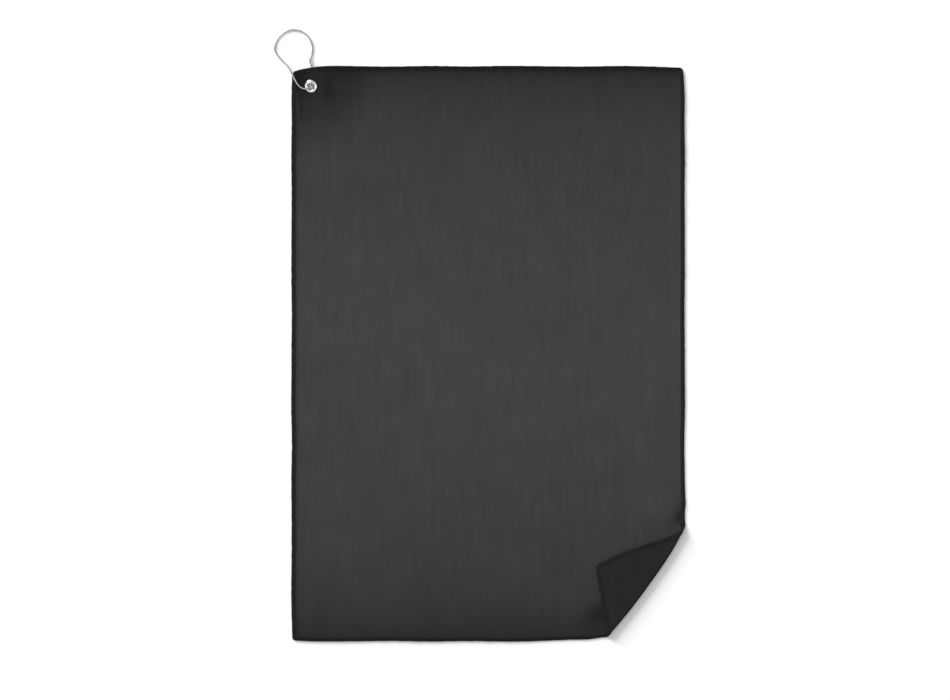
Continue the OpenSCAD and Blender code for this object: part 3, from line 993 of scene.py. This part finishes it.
FRONT, BACK = microfibre_front(), microfibre_back()
THREAD = overlock_thread("overlock_thread", 0.0085, 0.0165)
# A darker copy of the thread, as painted shade: on the top and bottom runs for the light's
# fall-off towards the ends, and on the purl and the turned corner's front looper for the dark line
# at the rim
SHADED_THREAD = overlock_thread("overlock_thread_painted_shade", 0.005, 0.0095)
BACK_THREAD = overlock_thread("overlock_thread_back", 0.0075, 0.0135)
NEEDLE_THREAD = overlock_thread("needle_thread", 0.018, 0.032)
NICKEL, STEEL = nickel(), spring_steel()


def past_ridge(centre):
    return OUT @ np.array(centre[:2]) - FOLD_START > ARC / 2


SHEET = flat_sheet()
towel = cloth_piece("towel_cloth", SHEET, lambda c: not past_ridge(c), [FRONT, BACK])
corner = cloth_piece("turned_corner_cloth", SHEET, past_ridge, [FRONT, BACK])
SHEET.free()
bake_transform(towel)
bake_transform(corner)
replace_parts(towel, "towel_panel", "grommet_corner", "fold_lower", "fold_ridge")
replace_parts(corner, "fold_upper", "turned_corner")

# The overlocked edge, in runs that end half way round a corner or on the fold's ridge
RIDGE_REACH = FOLD_START + ARC / 2
RIDGE_ON_RIGHT = (OUT[0] * HALF_W - RIDGE_REACH) / -OUT[1]
RIDGE_ON_BOTTOM = (RIDGE_REACH + OUT[1] * HALF_L) / OUT[0]
RIGHT_FROM = SIDE_W + BEND / 2
RIGHT_TO = SIDE_W + BEND + HALF_L - CORNER_R - RIDGE_ON_RIGHT
BOTTOM_FROM = SIDE_W + BEND + SIDE_L + BEND + HALF_W - CORNER_R - RIDGE_ON_BOTTOM
LEFT_FROM = 2 * SIDE_W + SIDE_L + 2.5 * BEND
# the top, bottom and turned corner's runs take the darker thread: painted shade
edge_top = overlock("overlock_top", -BEND / 2, RIGHT_FROM, 21, SHADED_THREAD)
edge_right = overlock("overlock_right", RIGHT_FROM, RIGHT_TO, 31, THREAD)
edge_corner = overlock("overlock_turned_corner", RIGHT_TO, BOTTOM_FROM, 41, SHADED_THREAD)
edge_bottom = overlock("overlock_bottom", BOTTOM_FROM, LEFT_FROM, 51, SHADED_THREAD)
edge_left = overlock("overlock_left", LEFT_FROM, ROUND - BEND / 2, 61, THREAD)
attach(edge_top, "towel")
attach(edge_left, "towel")
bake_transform(edge_right)
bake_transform(edge_bottom)
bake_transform(edge_corner)
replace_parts(edge_top, "edge_top", "edge_grommet_corner")
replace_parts(edge_right, "edge_right", "edge_fold_lower")
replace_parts(edge_bottom, "edge_bottom", "edge_fold_ridge")
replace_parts(edge_left, "edge_left")
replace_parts(edge_corner, "edge_fold_upper", "edge_turned_corner")

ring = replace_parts(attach(eyelet(NICKEL), "towel"), "grommet_eyelet")
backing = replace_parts(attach(washer(NICKEL), "towel"), "grommet_washer")
wire = round_wire("hook_wire_drawn", np.vstack([bow(BOW_SPLIT, BOW_LEFT), spline(
    FRONT_LEG + BACK_LEG + CATCH, 6)]), STEEL, open_end=True)
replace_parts(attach(wire, "hook"), "hook_wire")
gate = round_wire("hook_gate_drawn", np.vstack([bow(BOW_SPLIT, BOW_RIGHT), spline(GATE_TIP, 6)]),
                  STEEL, open_end=True)
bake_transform(gate)
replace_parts(gate, "hook_gate")
